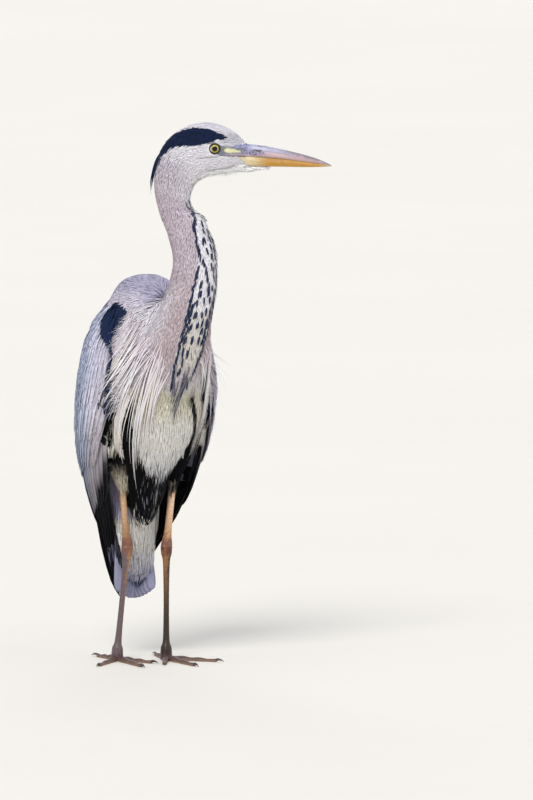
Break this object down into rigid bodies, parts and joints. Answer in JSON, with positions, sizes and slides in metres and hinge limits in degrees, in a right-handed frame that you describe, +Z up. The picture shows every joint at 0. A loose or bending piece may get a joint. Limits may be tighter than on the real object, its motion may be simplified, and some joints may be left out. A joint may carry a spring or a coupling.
{
  "type": "standing wading bird",
  "caption": "Life-size grey heron standing upright with folded wings, its head turned to its left.",
  "frame": {"origin": "on the floor, under the middle of the bounding box", "axes": "+Z up along the standing bird, -Y to the bird's front, +X to its left"},
  "size_m": [0.3238, 0.2356, 0.7713],
  "materials": {
    "white_feathers": "soft white and black feathering",
    "neck_feathers": "soft pinkish grey feathering",
    "body_feathers": "soft grey, cream and black feathering",
    "wing_feathers": "smooth grey and black vanes",
    "tail_feathers": "smooth grey vanes",
    "thigh_feathers": "short soft beige feathering",
    "upper_bill": "smooth horn, satin",
    "lower_bill": "smooth horn, satin",
    "leg_skin": "scaly skin",
    "foot_skin": "scaly skin",
    "claw": "smooth horn",
    "eye": "wet gloss"
  },
  "bodies": {
    "root": {"bill_lower": "lower_bill", "bill_upper": "upper_bill", "claw_hind_left": "claw", "claw_hind_right": "claw", "claw_inner_left": "claw", "claw_inner_right": "claw", "claw_middle_left": "claw", "claw_middle_right": "claw", "claw_outer_left": "claw", "claw_outer_right": "claw", "eye_left": "eye", "eye_right": "eye", "head": "white_feathers", "neck_lower": "neck_feathers", "neck_middle": "neck_feathers", "neck_upper": "neck_feathers", "shank_left": "leg_skin", "shank_right": "leg_skin", "tail": "tail_feathers", "tarsus_left": "leg_skin", "tarsus_right": "leg_skin", "thigh_left": "thigh_feathers", "thigh_right": "thigh_feathers", "toe_hind_left": "foot_skin", "toe_hind_right": "foot_skin", "toe_inner_left": "foot_skin", "toe_inner_right": "foot_skin", "toe_middle_left": "foot_skin", "toe_middle_right": "foot_skin", "toe_outer_left": "foot_skin", "toe_outer_right": "foot_skin", "torso": "body_feathers", "wing_left": "wing_feathers", "wing_right": "wing_feathers"}
  },
  "joints": []
}
